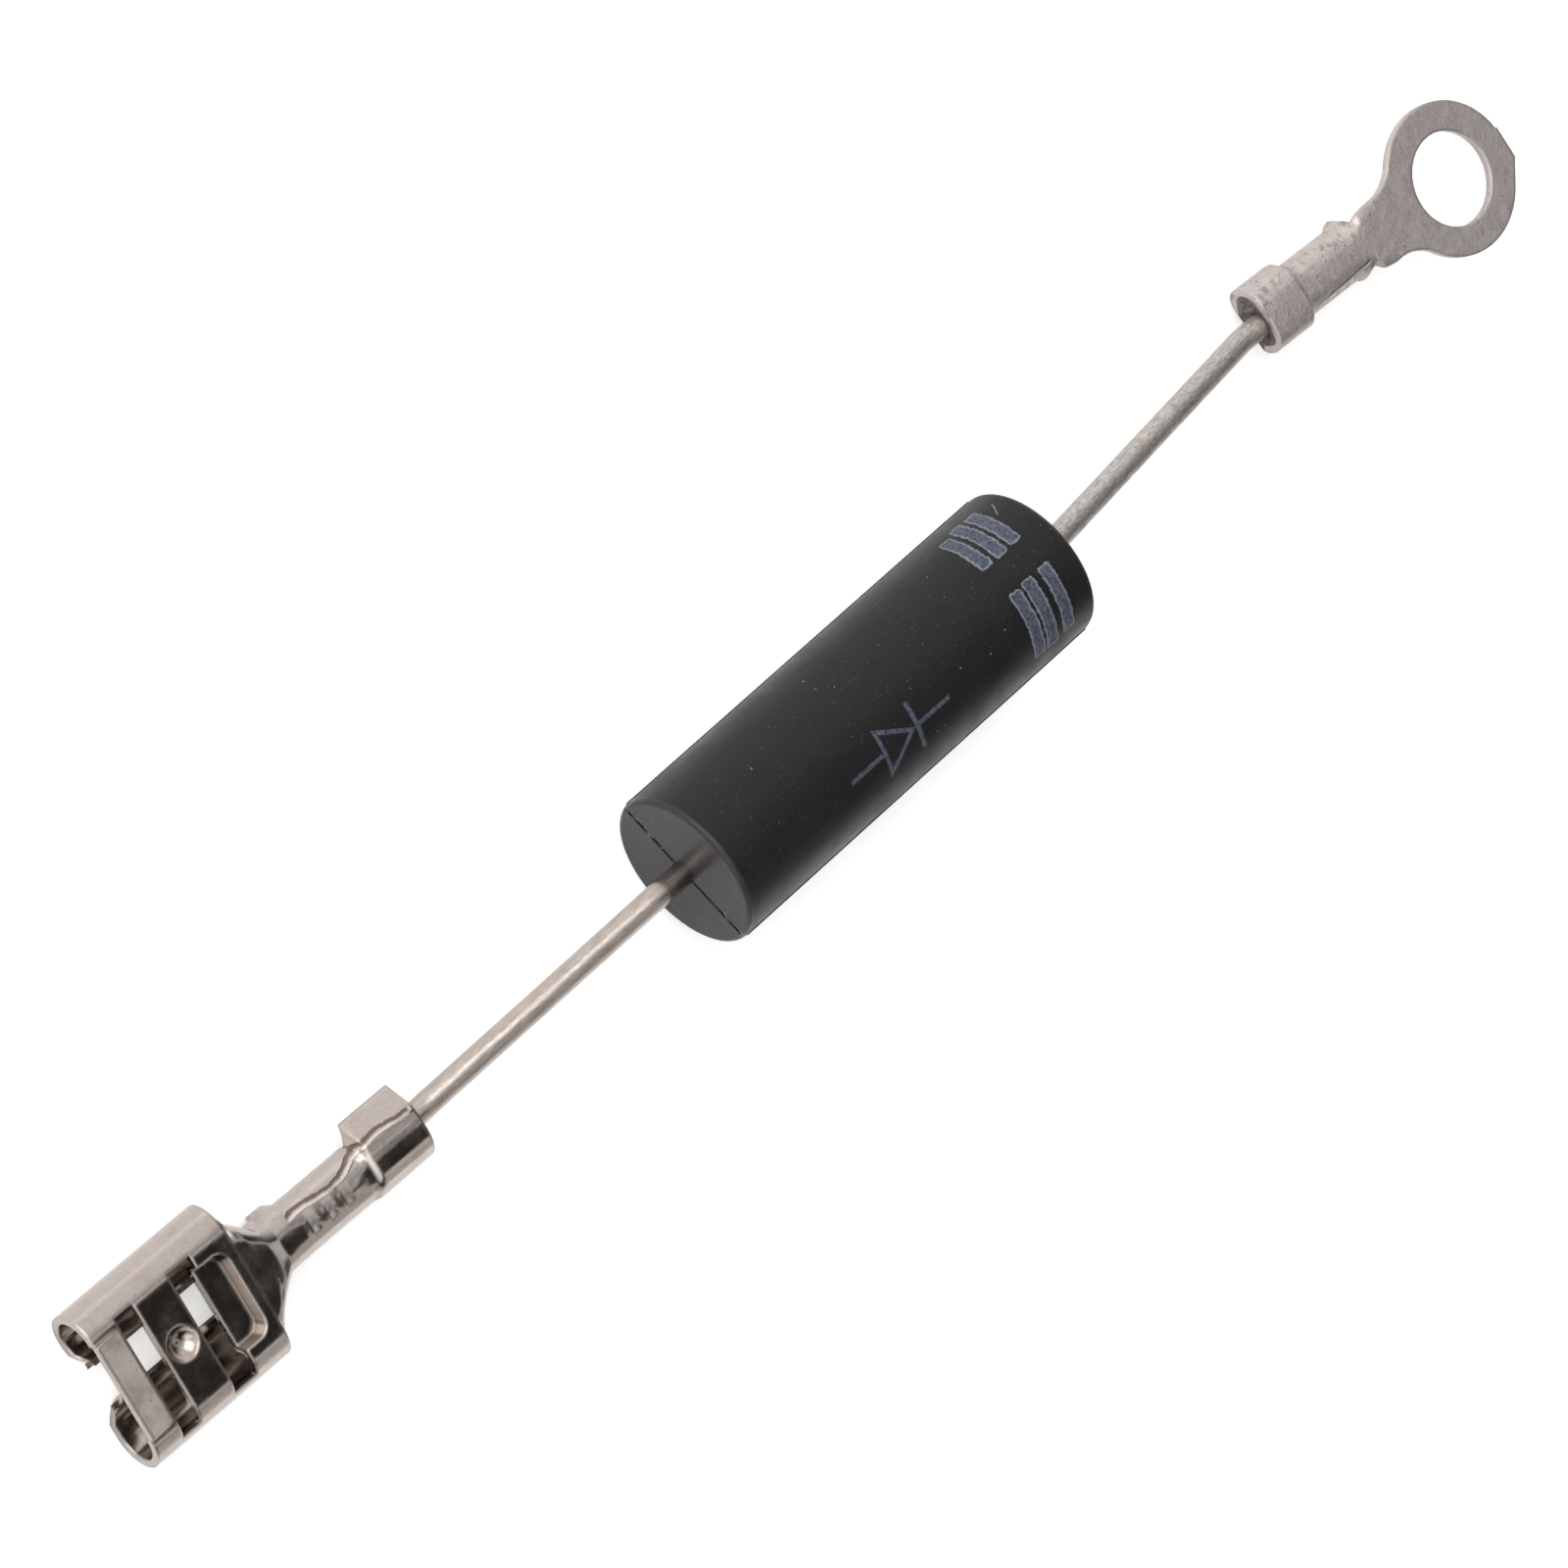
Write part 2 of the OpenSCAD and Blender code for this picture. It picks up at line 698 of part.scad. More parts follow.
epoxy_body();
junction_coating();
anode_lead();
cathode_lead();
for (i = [1:die_count]) silicon_die(i);
for (i = [1:die_count + 1]) solder_preform(i);
ring_terminal();
tab_receptacle();
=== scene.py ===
import bpy
import json
import math
from mathutils import Matrix, Vector


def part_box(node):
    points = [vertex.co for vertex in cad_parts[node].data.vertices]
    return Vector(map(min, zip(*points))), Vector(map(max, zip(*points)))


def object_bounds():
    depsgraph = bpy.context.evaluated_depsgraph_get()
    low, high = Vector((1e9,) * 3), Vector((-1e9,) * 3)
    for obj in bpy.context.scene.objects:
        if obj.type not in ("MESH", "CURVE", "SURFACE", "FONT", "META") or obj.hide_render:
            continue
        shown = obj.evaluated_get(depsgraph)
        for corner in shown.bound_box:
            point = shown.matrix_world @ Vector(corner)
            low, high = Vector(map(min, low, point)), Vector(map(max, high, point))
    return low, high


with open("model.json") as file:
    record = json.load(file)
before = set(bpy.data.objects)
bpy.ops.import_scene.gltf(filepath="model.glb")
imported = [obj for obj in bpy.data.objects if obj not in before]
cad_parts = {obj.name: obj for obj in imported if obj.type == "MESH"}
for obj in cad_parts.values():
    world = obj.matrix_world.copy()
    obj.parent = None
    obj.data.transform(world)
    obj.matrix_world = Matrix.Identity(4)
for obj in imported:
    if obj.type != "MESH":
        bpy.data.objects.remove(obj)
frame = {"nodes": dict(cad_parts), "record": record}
nodes = frame["nodes"]
cad_box = [[float(v) for v in p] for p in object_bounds()]


def centre(name):
    low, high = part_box(name)
    return (Vector(low) + Vector(high)) / 2


MM = 0.001
BODY = centre("epoxy_body")
low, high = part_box("epoxy_body")
BODY_R = (high[2] - low[2]) / 2
MOUTH = Vector(next(m["pos_m"] for m in frame["record"]["mounts"] if m["name"] == "tab_socket"))


# ---- Camera, floor and light ------------------------------------------------

# The camera's axes and its place from the body's middle, both fitted to the photograph
CAMERA_RIGHT = Vector((0.65698, -0.48082, 0.58068))
CAMERA_UP = Vector((0.58795, 0.80888, 0.00458))
CAMERA_BACK = Vector((-0.47190, 0.33840, 0.81412))
EYE = BODY + Vector((-157.146, 109.201, 262.829)) * MM
LENS = 180
SENSOR_WIDTH = 36
CLIP_END = 10

# From the socket's mouth to the middle of the receptacle's floor, and the way a level sheet
# there mirrors the line from the camera
FLOOR_FROM_MOUTH = Vector((5 * MM, 0, 0))
to_eye = (EYE - MOUTH - FLOOR_FROM_MOUTH).normalized()
MIRROR = Vector((-to_eye[0], -to_eye[1], to_eye[2]))

# The world's light from one side, from near the horizon, and as a bright ring round the dark
# place that the receptacle's floor mirrors. The edges are cosines from each direction.
WORLD_COLOR = (1.0, 0.985, 0.97)
SIDE_WAY = (-0.35, 0.9, 0.25)
SIDE_EDGE = (-0.2, 0.5)
SIDE_STRENGTH = (0.03, 1.1)
HORIZON_EDGE = (0.0, 0.4)
HORIZON_STRENGTH = 0.4
RING_OUTER_EDGE = (0.925, 0.95)
RING_INNER_EDGE = (0.968, 0.982)
RING_STRENGTH = 0.95

# The paper floor: half its side and its gap under the part, then how brightly it glows in the
# camera's view, and the share of that which metal mirrors
FLOOR_HALF = 3.0
FLOOR_GAP = 0.02 * MM
FLOOR_COLOR = (0.86, 0.86, 0.86)
FLOOR_GLOW = 0.45
MIRRORED_SHARE = 0.5

WHITE = (1, 1, 1)

# The Mix node's sockets when it mixes colours
MIX_FACTOR, MIX_A, MIX_B, MIX_RESULT = 0, 6, 7, 2
# Middle of a noise texture's range, and its roughness where none is given
NOISE_MIDDLE = 0.5
NOISE_ROUGH = 0.55


def add_camera():
    data = bpy.data.cameras.new("camera")
    data.lens = LENS
    data.sensor_width = SENSOR_WIDTH
    data.clip_end = CLIP_END
    cam = bpy.data.objects.new("camera", data)
    bpy.context.collection.objects.link(cam)
    axes = Matrix((CAMERA_RIGHT, CAMERA_UP, CAMERA_BACK)).transposed().to_4x4()
    cam.matrix_world = Matrix.Translation(EYE) @ axes
    bpy.context.scene.camera = cam


def add_area(name, direction, distance, size, power, color=WHITE, around=BODY):
    data = bpy.data.lights.new(name, "AREA")
    data.shape = "SQUARE"
    data.size = size
    data.energy = power
    data.color = color
    lamp = bpy.data.objects.new(name, data)
    bpy.context.collection.objects.link(lamp)
    away = Vector(direction).normalized()
    lamp.location = around + away * distance
    lamp.rotation_euler = away.to_track_quat("Z", "Y").to_euler()


class Graph:
    """Short ways to write a node tree."""

    def __init__(self, tree):
        self.tree = tree
        tree.nodes.clear()

    def add(self, kind, **settings):
        node = self.tree.nodes.new(kind)
        for key, value in settings.items():
            setattr(node, key, value)
        return node

    def put(self, socket, value):
        if isinstance(value, bpy.types.NodeSocket):
            self.tree.links.new(value, socket)
        elif isinstance(value, (tuple, list)) and len(value) == 3 and socket.type == "RGBA":
            socket.default_value = (*value, 1)
        else:
            socket.default_value = value

    def fill(self, node, **values):
        """Put values into inputs that are named here, with _ for a space."""
        for key, value in values.items():
            self.put(node.inputs[key.replace("_", " ")], value)
        return node

    def math(self, op, *values):
        node = self.add("ShaderNodeMath", operation=op)
        for socket, value in zip(node.inputs, values):
            self.put(socket, value)
        return node.outputs[0]

    def sub(self, a, b):
        return self.math("SUBTRACT", a, b)

    def mul(self, a, b):
        return self.math("MULTIPLY", a, b)

    def plus(self, a, b):
        return self.math("ADD", a, b)

    def size(self, a):
        return self.math("ABSOLUTE", a)

    def most(self, first, *rest):
        for v in rest:
            first = self.math("MAXIMUM", first, v)
        return first

    def least(self, first, *rest):
        for v in rest:
            first = self.math("MINIMUM", first, v)
        return first

    def step(self, value, a, b, to_a=0.0, to_b=1.0):
        """A smooth rise from to_a at a to to_b at b."""
        node = self.add("ShaderNodeMapRange", interpolation_type="SMOOTHSTEP")
        self.fill(node, Value=value, From_Min=a, From_Max=b, To_Min=to_a, To_Max=to_b)
        return node.outputs["Result"]

    def fall(self, value, a, b):
        """A smooth fall from 1 at a to 0 at b."""
        return self.step(value, a, b, 1.0, 0.0)

    def near(self, value, a, b):
        """1 where value is within a of 0, and 0 from b outwards."""
        return self.fall(self.size(value), a, b)

    def mix(self, fac, a, b):
        node = self.add("ShaderNodeMix", data_type="RGBA")
        self.put(node.inputs[MIX_FACTOR], fac)
        self.put(node.inputs[MIX_A], a)
        self.put(node.inputs[MIX_B], b)
        return node.outputs[MIX_RESULT]

    def noise(self, vector, scale, detail, rough=NOISE_ROUGH):
        node = self.add("ShaderNodeTexNoise")
        self.fill(node, Vector=vector, Scale=scale, Detail=detail, Roughness=rough)
        return node.outputs["Fac"]

    def sway(self, vector, scale, detail, rough=NOISE_ROUGH):
        """Noise that swings about 0."""
        return self.sub(self.noise(vector, scale, detail, rough), NOISE_MIDDLE)

    def cells(self, vector, scale):
        """Distance to the middle of the nearest cell."""
        node = self.fill(self.add("ShaderNodeTexVoronoi"), Vector=vector, Scale=scale)
        return node.outputs["Distance"]

    def scaled(self, vector, x, y, z):
        node = self.fill(self.add("ShaderNodeMapping"), Vector=vector, Scale=(x, y, z))
        return node.outputs[0]

    def place(self, origin):
        """Object coordinates in millimetres from origin."""
        coord = self.add("ShaderNodeTexCoord").outputs["Object"]
        node = self.add("ShaderNodeMapping")
        self.fill(node, Vector=coord, Scale=(1000, 1000, 1000),
                  Location=tuple(-1000 * v for v in origin))
        return node.outputs[0]

    def parts(self, vector):
        """The x, y and z of a vector."""
        node = self.fill(self.add("ShaderNodeSeparateXYZ"), Vector=vector)
        return node.outputs[0], node.outputs[1], node.outputs[2]

    def bump(self, height, distance, strength, normal=None):
        node = self.add("ShaderNodeBump")
        self.fill(node, Height=height, Distance=distance, Strength=strength)
        if normal is not None:
            self.put(node.inputs["Normal"], normal)
        return node.outputs[0]


def add_world():
    world = bpy.data.worlds.new("studio")
    world.use_nodes = True
    bpy.context.scene.world = world
    g = Graph(world.node_tree)
    coord = g.add("ShaderNodeTexCoord").outputs["Generated"]

    def towards(v):
        node = g.add("ShaderNodeVectorMath", operation="DOT_PRODUCT")
        g.put(node.inputs[0], coord)
        node.inputs[1].default_value = tuple(Vector(v).normalized())
        return node.outputs["Value"]

    side = g.step(towards(SIDE_WAY), *SIDE_EDGE, *SIDE_STRENGTH)
    horizon = g.step(towards((0, 0, 1)), *HORIZON_EDGE, HORIZON_STRENGTH, 0.0)
    mirror = towards(MIRROR)
    ring = g.mul(g.step(mirror, *RING_OUTER_EDGE), g.fall(mirror, *RING_INNER_EDGE))
    side = g.most(side, g.mul(ring, RING_STRENGTH))
    lit = g.fill(g.add("ShaderNodeBackground"), Color=WORLD_COLOR, Strength=g.plus(side, horizon))
    white = g.fill(g.add("ShaderNodeBackground"), Color=WHITE, Strength=1.0)
    path = g.add("ShaderNodeLightPath")
    mix = g.add("ShaderNodeMixShader")
    g.put(mix.inputs[0], path.outputs["Is Camera Ray"])
    g.put(mix.inputs[1], lit.outputs[0])
    g.put(mix.inputs[2], white.outputs[0])
    out = g.add("ShaderNodeOutputWorld")
    g.put(out.inputs[0], mix.outputs[0])


def add_floor():
    mesh = bpy.data.meshes.new("floor")
    half = FLOOR_HALF
    z = cad_box[0][2] - FLOOR_GAP
    corners = [(-half, -half, z), (half, -half, z), (half, half, z), (-half, half, z)]
    mesh.from_pydata(corners, [], [(0, 1, 2, 3)])
    floor = bpy.data.objects.new("floor", mesh)
    bpy.context.collection.objects.link(floor)
    mat = bpy.data.materials.new("paper")
    mat.use_nodes = True
    g = Graph(mat.node_tree)
    lit = g.fill(g.add("ShaderNodeBsdfDiffuse"), Color=FLOOR_COLOR)
    path = g.add("ShaderNodeLightPath").outputs
    mirrored = g.mul(path["Is Glossy Ray"], MIRRORED_SHARE)
    seen = g.most(path["Is Camera Ray"], mirrored, path["Is Transmission Ray"])
    glow = g.fill(g.add("ShaderNodeEmission"), Color=WHITE, Strength=g.mul(seen, FLOOR_GLOW))
    both = g.add("ShaderNodeAddShader")
    g.put(both.inputs[0], lit.outputs[0])
    g.put(both.inputs[1], glow.outputs[0])
    out = g.add("ShaderNodeOutputMaterial")
    g.put(out.inputs[0], both.outputs[0])
    mesh.materials.append(mat)


# ---- Materials --------------------------------------------------------------


def material(name):
    mat = bpy.data.materials.new(name)
    mat.use_nodes = True
    g = Graph(mat.node_tree)
    shader = g.add("ShaderNodeBsdfPrincipled")
    out = g.add("ShaderNodeOutputMaterial")
    g.put(out.inputs[0], shader.outputs[0])
    return mat, g, shader


def box_distance(g, u, v, cu, cv, hu, hv, corner):
    """Distance outside a rounded rectangle, in the units of u and v."""
    du = g.sub(g.size(g.sub(u, cu)), hu - corner)
    dv = g.sub(g.size(g.sub(v, cv)), hv - corner)
    ou = g.most(du, 0.0)
    ov = g.most(dv, 0.0)
    far = g.math("SQRT", g.plus(g.mul(ou, ou), g.mul(ov, ov)))
    return g.sub(g.plus(far, g.least(g.most(du, dv), 0.0)), corner)


# Lengths on the body are in mm from its middle, along it or round it from the top towards +Y.
ARC_R = BODY_R / MM
ARC_OF_DEGREE = math.radians(1) * ARC_R

# Printed bars round the cathode end: middle and half width along the body in mm, then the two
# ends as angles from the top towards +Y in degrees
BARS = [
    (9.15, 0.34, 39, 82), (8.25, 0.35, 38.5, 83), (7.32, 0.34, 38.5, 79),
    (9.23, 0.34, -37, 16), (8.18, 0.35, -39, 16.5), (7.35, 0.34, -38, 15.5),
]
BAR_CORNER = 0.12

# The diode symbol: its place, the triangle's flanks, half its length and half its line's width,
# then boxes of middle, half sides and corner for the bar and the two lead lines
SYMBOL_X = -1.1
SYMBOL_ANGLE = -9.0
TRIANGLE_SLOPE = 0.6
TRIANGLE_HALF = 1.0
LINE_HALF = 0.1
SYMBOL_BAR = (1.12, 0.0, 0.11, 1.15, 0.05)
SYMBOL_LEADS = ((-2.0, 0.0, 1.0, 0.1, 0.05), (2.15, 0.0, 1.0, 0.1, 0.05))

# A noise is its scale per mm, detail and roughness. An edge is where a change starts and where
# it ends. A bump is its depth and strength.

# The ink: how far its edge wanders, on the bars and as a share on the symbol, its edge, the
# paler rim inside and the dark halo outside it, and where it is worn and streaked
INK_NOISE = (4.5, 5, 0.7)
INK_WANDER = 0.36
SYMBOL_WANDER = 0.25
INK_EDGE = (-0.03, 0.03)
SYMBOL_STRENGTH = 0.95
RIM_START, RIM_END = (-0.11, -0.06), (-0.01, 0.03)
HALO_START, HALO_END = (0.02, 0.08), (0.1, 0.2)
RIM_STRENGTH = 0.75
HALO_STRENGTH = 0.6
WORN_NOISE = (4.2, 5, 0.75)
WORN_EDGE = (0.33, 0.4)
STREAK_STRETCH = (7.0, 5.0, 5.0)
STREAK_NOISE = (1.0, 4, 0.7)
STREAK_EDGE = (0.36, 0.64)
INK_DARK, INK_PALE = (0.036, 0.043, 0.067), (0.092, 0.104, 0.142)
INK_RIM = (0.21, 0.225, 0.265)
INK_HALO = (0.006, 0.006, 0.008)

# Along the body, where its side turns into an end face
SIDE_END = (10.75, 10.8)
EPOXY_MOTTLE = (0.55, 4, 0.6)
EPOXY_GRAIN = (26.0, 3, 0.6)
EPOXY_DARK, EPOXY_PALE = (0.0075, 0.0073, 0.008), (0.0125, 0.012, 0.013)
GRAIN_RANGE = (0.55, 0.8, 0.0, 0.35)
GRAIN_COLOR = (0.022, 0.021, 0.022)
END_STRENGTH = 0.75
END_DARK, END_PALE = (0.026, 0.0245, 0.0265), (0.04, 0.038, 0.0405)
EPOXY_SPECULAR = 0.24
# Roughness: its range over the mottle, then what ink, grain and the end faces add
EPOXY_ROUGH = (0.3, 0.7, 0.34, 0.46)
ROUGH_OF_INK = 0.15
ROUGH_OF_GRAIN = 0.12
ROUGH_OF_END = -0.25
# The surface: fine grain, a slow wave along the body, raised ink, and dust and flecks
FINE_NOISE = (16.0, 4, 0.6)
FINE_BUMP = (0.03 * MM, 0.28)
WAVE_STRETCH = (0.3, 1, 1)
WAVE_NOISE = (0.9, 2)
WAVE_BUMP = (0.12 * MM, 0.2)
INK_BUMP = (0.025 * MM, 0.6)
DUST_BUMP = (0.03 * MM, 0.5)

# Dust in three sizes: stretch and scale of the cells, a speck's edge, scale and edge of the
# clusters, and strength
DUST = [
    ((1.0, 1.35, 1.1), 1.15, (0.04, 0.07), 0.8, (0.44, 0.54), 1.0),
    ((1, 1, 1), 3.4, (0.07, 0.12), 1.9, (0.54, 0.64), 0.7),
    ((1, 1, 1), 6.5, (0.1, 0.17), 2.6, (0.5, 0.62), 0.4),
]
DUST_CLUSTER_DETAIL = 2
DUST_STRENGTH = 0.75
DUST_COLOR = (0.25, 0.24, 0.23)

# A hairline scratch beside the bars: middle along the body, its wave round it, then the middle
# and the edges of its length and of its width
SCRATCH_X = 9.95
SCRATCH_WAVE_START = 4.3
SCRATCH_WAVE_RATE = 2.4
SCRATCH_WAVE_HEIGHT = 0.28
SCRATCH_ARC = 4.4
SCRATCH_LENGTH = (0.32, 0.42)
SCRATCH_WIDTH = (0.02, 0.06)
SCRATCH_STRENGTH = 0.7
SCRATCH_COLOR = (0.2, 0.19, 0.18)

# The ragged line across both end faces where the mould's halves met: its angle in the Y-Z
# plane, how far it wanders, the dark line, and the pale flecks' line beside it
SEAM_ANGLE = math.radians(-24.5)
SEAM_NOISE = (2.2, 4, 0.7)
SEAM_WANDER = 0.8
SEAM_DARK_EDGE = (0.05, 0.13)
SEAM_DARK_STRENGTH = 0.85
SEAM_PALE_AT = 0.12
SEAM_PALE_EDGE = (0.02, 0.07)
SEAM_PALE_STRENGTH = 0.8
FLECK_NOISE = (3.5, 3)
FLECK_EDGE = (0.5, 0.56)
SEAM_DARK = (0.002, 0.002, 0.002)
SEAM_PALE = (0.16, 0.155, 0.16)


def bar_distance(g, x, arc):
    found = []
    for mid, half, start, end in BARS:
        middle = (start + end) / 2 * ARC_OF_DEGREE
        reach = abs(end - start) / 2 * ARC_OF_DEGREE
        found.append(box_distance(g, x, arc, mid, middle, half, reach, BAR_CORNER))
    return g.least(*found)


def symbol_distance(g, x, arc):
    """A diode symbol that points at the cathode end: lead lines, open triangle and bar."""
    u = g.sub(x, SYMBOL_X)
    v = g.sub(arc, SYMBOL_ANGLE * ARC_OF_DEGREE)
    rise = g.mul(g.sub(TRIANGLE_HALF, u), TRIANGLE_SLOPE)
    flank = g.mul(g.sub(g.size(v), rise), 1 / math.hypot(1, TRIANGLE_SLOPE))
    triangle = g.most(flank, g.sub(-TRIANGLE_HALF, u))
    outline = g.sub(g.size(g.plus(triangle, LINE_HALF)), LINE_HALF)
    leads = [box_distance(g, u, v, *lead) for lead in SYMBOL_LEADS]
    return g.least(outline, box_distance(g, u, v, *SYMBOL_BAR), g.least(*leads))


def dust(g, vec):
    found = []
    for stretch, scale, edge, cluster_scale, cluster_edge, strength in DUST:
        speck = g.fall(g.cells(g.scaled(vec, *stretch), scale), *edge)
        cluster = g.step(g.noise(vec, cluster_scale, DUST_CLUSTER_DETAIL), *cluster_edge)
        found.append(g.mul(g.mul(speck, cluster), strength))
    return g.most(*found)


def scratch(g, x, arc):
    wave = g.math("SINE", g.mul(g.sub(arc, SCRATCH_WAVE_START), SCRATCH_WAVE_RATE))
    middle = g.plus(SCRATCH_X, g.mul(wave, SCRATCH_WAVE_HEIGHT))
    thin = g.near(g.sub(x, middle), *SCRATCH_WIDTH)
    return g.mul(thin, g.near(g.sub(arc, SCRATCH_ARC), *SCRATCH_LENGTH))


def epoxy():
    mat, g, shader = material("moulded_epoxy")
    vec = g.place(BODY)
    x, y, z = g.parts(vec)
    arc = g.mul(g.math("ARCTAN2", y, z), ARC_R)
    on_side = g.near(x, *SIDE_END)
    on_end = g.sub(1.0, on_side)
    mottle = g.noise(vec, *EPOXY_MOTTLE)
    grain = g.noise(vec, *EPOXY_GRAIN)

    # printed marks
    edge = g.mul(g.sway(vec, *INK_NOISE), INK_WANDER)
    bars = g.plus(bar_distance(g, x, arc), edge)
    symbol = g.plus(symbol_distance(g, x, arc), g.mul(edge, SYMBOL_WANDER))
    rim = g.mul(g.step(bars, *RIM_START), g.fall(bars, *RIM_END))
    halo = g.mul(g.step(bars, *HALO_START), g.fall(bars, *HALO_END))
    worn = g.step(g.noise(vec, *WORN_NOISE), *WORN_EDGE)
    marks = g.most(g.fall(bars, *INK_EDGE), g.mul(g.fall(symbol, *INK_EDGE), SYMBOL_STRENGTH))
    paint = g.mul(g.mul(marks, worn), on_side)
    streak = g.noise(g.scaled(vec, *STREAK_STRETCH), *STREAK_NOISE)
    ink = g.mix(g.step(streak, *STREAK_EDGE), INK_DARK, INK_PALE)
    ink = g.mix(g.mul(rim, RIM_STRENGTH), ink, INK_RIM)

    # the moulding's own colour
    color = g.mix(mottle, EPOXY_DARK, EPOXY_PALE)
    color = g.mix(g.step(grain, *GRAIN_RANGE), color, GRAIN_COLOR)
    specks = dust(g, vec)
    color = g.mix(g.mul(specks, DUST_STRENGTH), color, DUST_COLOR)
    scratched = g.mul(scratch(g, x, arc), g.mul(on_side, SCRATCH_STRENGTH))
    color = g.mix(scratched, color, SCRATCH_COLOR)
    color = g.mix(g.mul(g.mul(halo, on_side), HALO_STRENGTH), color, INK_HALO)
    color = g.mix(paint, color, ink)
    color = g.mix(g.mul(on_end, END_STRENGTH), color, g.mix(grain, END_DARK, END_PALE))

    # the seam across the end faces
    seam = g.plus(g.mul(y, -math.sin(SEAM_ANGLE)), g.mul(z, math.cos(SEAM_ANGLE)))
    ragged = g.plus(seam, g.mul(g.sway(vec, *SEAM_NOISE), SEAM_WANDER))
    seam_dark = g.mul(g.near(ragged, *SEAM_DARK_EDGE), on_end)
    fleck = g.step(g.noise(vec, *FLECK_NOISE), *FLECK_EDGE)
    pale_line = g.near(g.sub(ragged, SEAM_PALE_AT), *SEAM_PALE_EDGE)
    seam_pale = g.mul(g.mul(pale_line, on_end), fleck)
    color = g.mix(g.mul(seam_dark, SEAM_DARK_STRENGTH), color, SEAM_DARK)
    color = g.mix(g.mul(seam_pale, SEAM_PALE_STRENGTH), color, SEAM_PALE)

    # ink is rougher than the epoxy, and the end faces are smoother
    rough = g.plus(g.step(mottle, *EPOXY_ROUGH), g.mul(paint, ROUGH_OF_INK))
    rough = g.plus(rough, g.mul(g.sub(grain, NOISE_MIDDLE), ROUGH_OF_GRAIN))
    rough = g.plus(rough, g.mul(on_end, ROUGH_OF_END))

    normal = g.bump(g.noise(vec, *FINE_NOISE), *FINE_BUMP)
    normal = g.bump(g.noise(g.scaled(vec, *WAVE_STRETCH), *WAVE_NOISE), *WAVE_BUMP, normal)
    normal = g.bump(paint, *INK_BUMP, normal)
    normal = g.bump(g.most(specks, seam_pale), *DUST_BUMP, normal)
    g.fill(shader, Base_Color=color, Roughness=rough, Specular_IOR_Level=EPOXY_SPECULAR,
           Normal=normal)
    return mat


# The metal's mottle and grain: detail and roughness of the noise, and the edges of the stain
# and of the grain
MOTTLE_NOISE = (5, 0.6)
GRAIN_NOISE = (5, 0.65)
STAIN_EDGE = (0.5, 0.78)
METAL_GRAIN_EDGE = (0.25, 0.75)
# Roughness over the mottle, and what the grain adds
METAL_ROUGH_EDGE = (0.3, 0.75)
ROUGH_OF_METAL_GRAIN = 0.14
# Dents are a little wider than the mottle
DENT_SCALE = 0.8
DENT_DETAIL = 3
DENT_STRENGTH = 0.5
METAL_GRAIN_STRENGTH = 0.6

# The fade at a fold's ends in mm, its flat middle as a share of its half width, how far it
# wanders, and how far beside it its painted highlight line lies, in half widths. The fold's dark
# line is painted shade in its groove.
FOLD_FADE = 0.3
FOLD_CORE = 0.5
FOLD_NOISE = (2.4, 3)
FOLD_WANDER = 0.12
FOLD_SHADE_STRENGTH = 0.8
FOLD_SHADE_COLOR = (0.11, 0.065, 0.035)
FOLD_DEPTH = 0.05 * MM
HIGHLIGHT_BESIDE = 2.2
PAINTED_HIGHLIGHT_STRENGTH = 0.7
PAINTED_HIGHLIGHT_COLOR = (0.8, 0.74, 0.7)
# The swaying fold: where its first wave has its crest, and the length of one wave
CREST_X = -28.9
WAVE_LENGTH = 4.6

PIT_COLOR = (0.12, 0.1, 0.09)
PIT_SCALE = 2.6
PIT_EDGE = (0.08, 0.16)
PIT_CLUSTER_NOISE = (1.3, 2)
PIT_CLUSTER_EDGE = (0.52, 0.6)
PIT_BUMP = (0.06 * MM, 0.6)

# Rubbed metal: the fade in mm where it ends, and the edges of its patches
RUB_FADE = 0.4
RUB_STRETCH = (1, 0.7, 0.7)
RUB_NOISE = (3.2, 5, 0.75)
RUB_EDGE = (0.52, 0.66)
RUB_STRENGTH = 0.55
RUB_COLOR = (0.2, 0.17, 0.155)
RUB_DEPTH = 0.04 * MM
# Strength of the bumps of folds and rubbed patches
RELIEF_STRENGTH = 0.7

# Painted shade, in a brown tint, darkens crevices: how far the shading looks, and the shares of
# open sky that are taken as fully shaded and as unshaded
CREVICE_REACH = 0.9 * MM
CREVICE_SHADE_EDGE = (0.35, 0.9)
CREVICE_SHADE_COLOR = (0.1, 0.075, 0.055)

EDGE_RADIUS = 0.2 * MM
SHADING_SAMPLES = 6


def stripe(g, along, across, start, end, at, half):
    """A thin line along a part, faded at both ends."""
    ends = g.mul(g.step(along, start, start + FOLD_FADE), g.fall(along, end - FOLD_FADE, end))
    return g.mul(g.near(g.sub(across, at), half * FOLD_CORE, half), ends)


